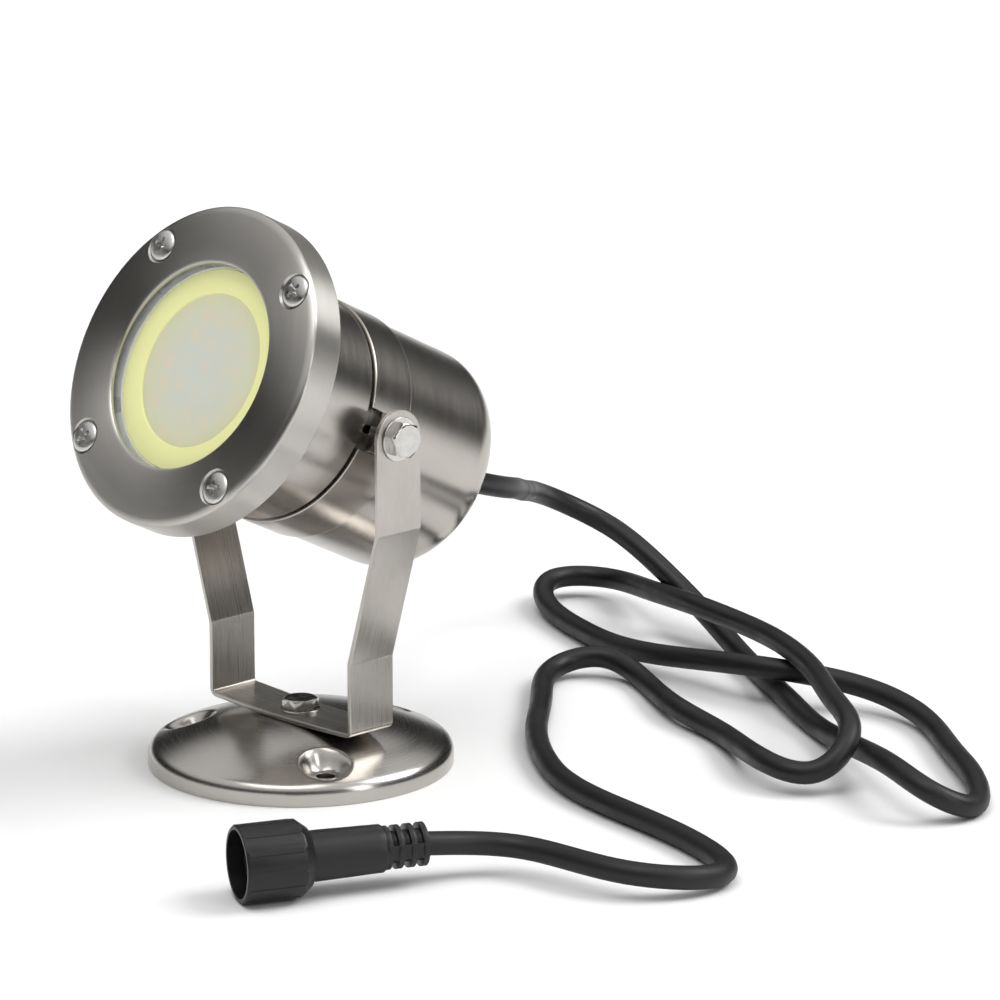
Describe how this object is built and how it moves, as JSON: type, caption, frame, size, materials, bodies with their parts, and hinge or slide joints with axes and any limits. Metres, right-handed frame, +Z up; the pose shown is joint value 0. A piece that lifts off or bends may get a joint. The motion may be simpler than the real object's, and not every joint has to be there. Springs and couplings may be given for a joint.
{
  "type": "underwater pool light",
  "caption": "Stainless underwater spot lamp on a tilting bracket with a domed screw-down base, a rubber cord and a round coupling plug.",
  "frame": {"origin": "centre of the base plate, at the ground it stands on", "axes": "+Z up, X along the tilt axis, lamp facing -Y"},
  "size_m": [0.2098, 0.2452, 0.1407],
  "materials": {
    "brushed_steel": "fine brushed stainless steel",
    "strap_steel": "satin brushed stainless strip",
    "polished_steel": "bright stainless fasteners",
    "nylon": "matt nylon",
    "black_rubber": "matt rubber",
    "white_silicone": "matt white silicone",
    "lens_glass": "clear toughened glass",
    "black_plastic": "moulded matt black plastic",
    "cord_rubber": "matt black rubber sheath",
    "lead_insulation": "soft wire insulation",
    "lamp_yellow": "pale yellow moulded rim",
    "frosted_diffuser": "frosted translucent plastic",
    "white_board": "white solder mask",
    "led_phosphor": "amber phosphor",
    "lamp_white": "white moulded lamp body",
    "pin_metal": "bright contact metal",
    "ceramic": "glazed ceramic"
  },
  "bodies": {
    "base": {"base_plate": "brushed_steel", "base_bolt": "polished_steel", "base_washers": "polished_steel", "base_nut": "polished_steel"},
    "bracket": {"bracket": "strap_steel", "cord": "cord_rubber", "plug_relief": "black_plastic", "plug_body": "black_plastic", "plug_pins": "pin_metal", "plug_o_ring": "black_rubber"},
    "head": {"pivot_bolts": "polished_steel", "pivot_washers": "polished_steel", "friction_washers": "nylon", "pivot_blocks": "strap_steel", "front_ring": "brushed_steel", "ring_screws": "polished_steel", "front_gasket": "black_rubber", "lens_glass": "lens_glass", "lens_seal": "white_silicone", "front_flange": "brushed_steel", "housing": "brushed_steel", "middle_band": "brushed_steel", "rear_cup": "brushed_steel", "housing_o_ring": "black_rubber", "gland_body": "black_plastic", "gland_locknut": "black_plastic", "gland_nut": "black_plastic", "gland_seal": "black_rubber", "lead_end": "cord_rubber", "core_leads": "lead_insulation", "lamp_rim": "lamp_yellow", "lamp_diffuser": "frosted_diffuser", "led_board": "white_board", "leds": "led_phosphor", "lamp_body": "lamp_white", "lamp_pins": "pin_metal", "lamp_socket": "ceramic"},
    "plug_nut": {"coupling_nut": "black_plastic"}
  },
  "joints": [
    {"name": "swivel", "type": "hinge", "parent": "base", "child": "bracket", "pos_m": [0, 0, 0.0125], "axis": [0, 0, 1], "range_deg": [-180, 180]},
    {"name": "tilt", "type": "hinge", "parent": "bracket", "child": "head", "pos_m": [0, 0, 0.088], "axis": [-1, 0, 0], "range_deg": [-60, 63], "deforming": ["cord"]},
    {"name": "coupling_turn", "type": "hinge", "parent": "bracket", "child": "plug_nut", "pos_m": [0.088, -0.041, 0.0092], "axis": [-0.4067, -0.9135, 0], "continuous": true}
  ]
}
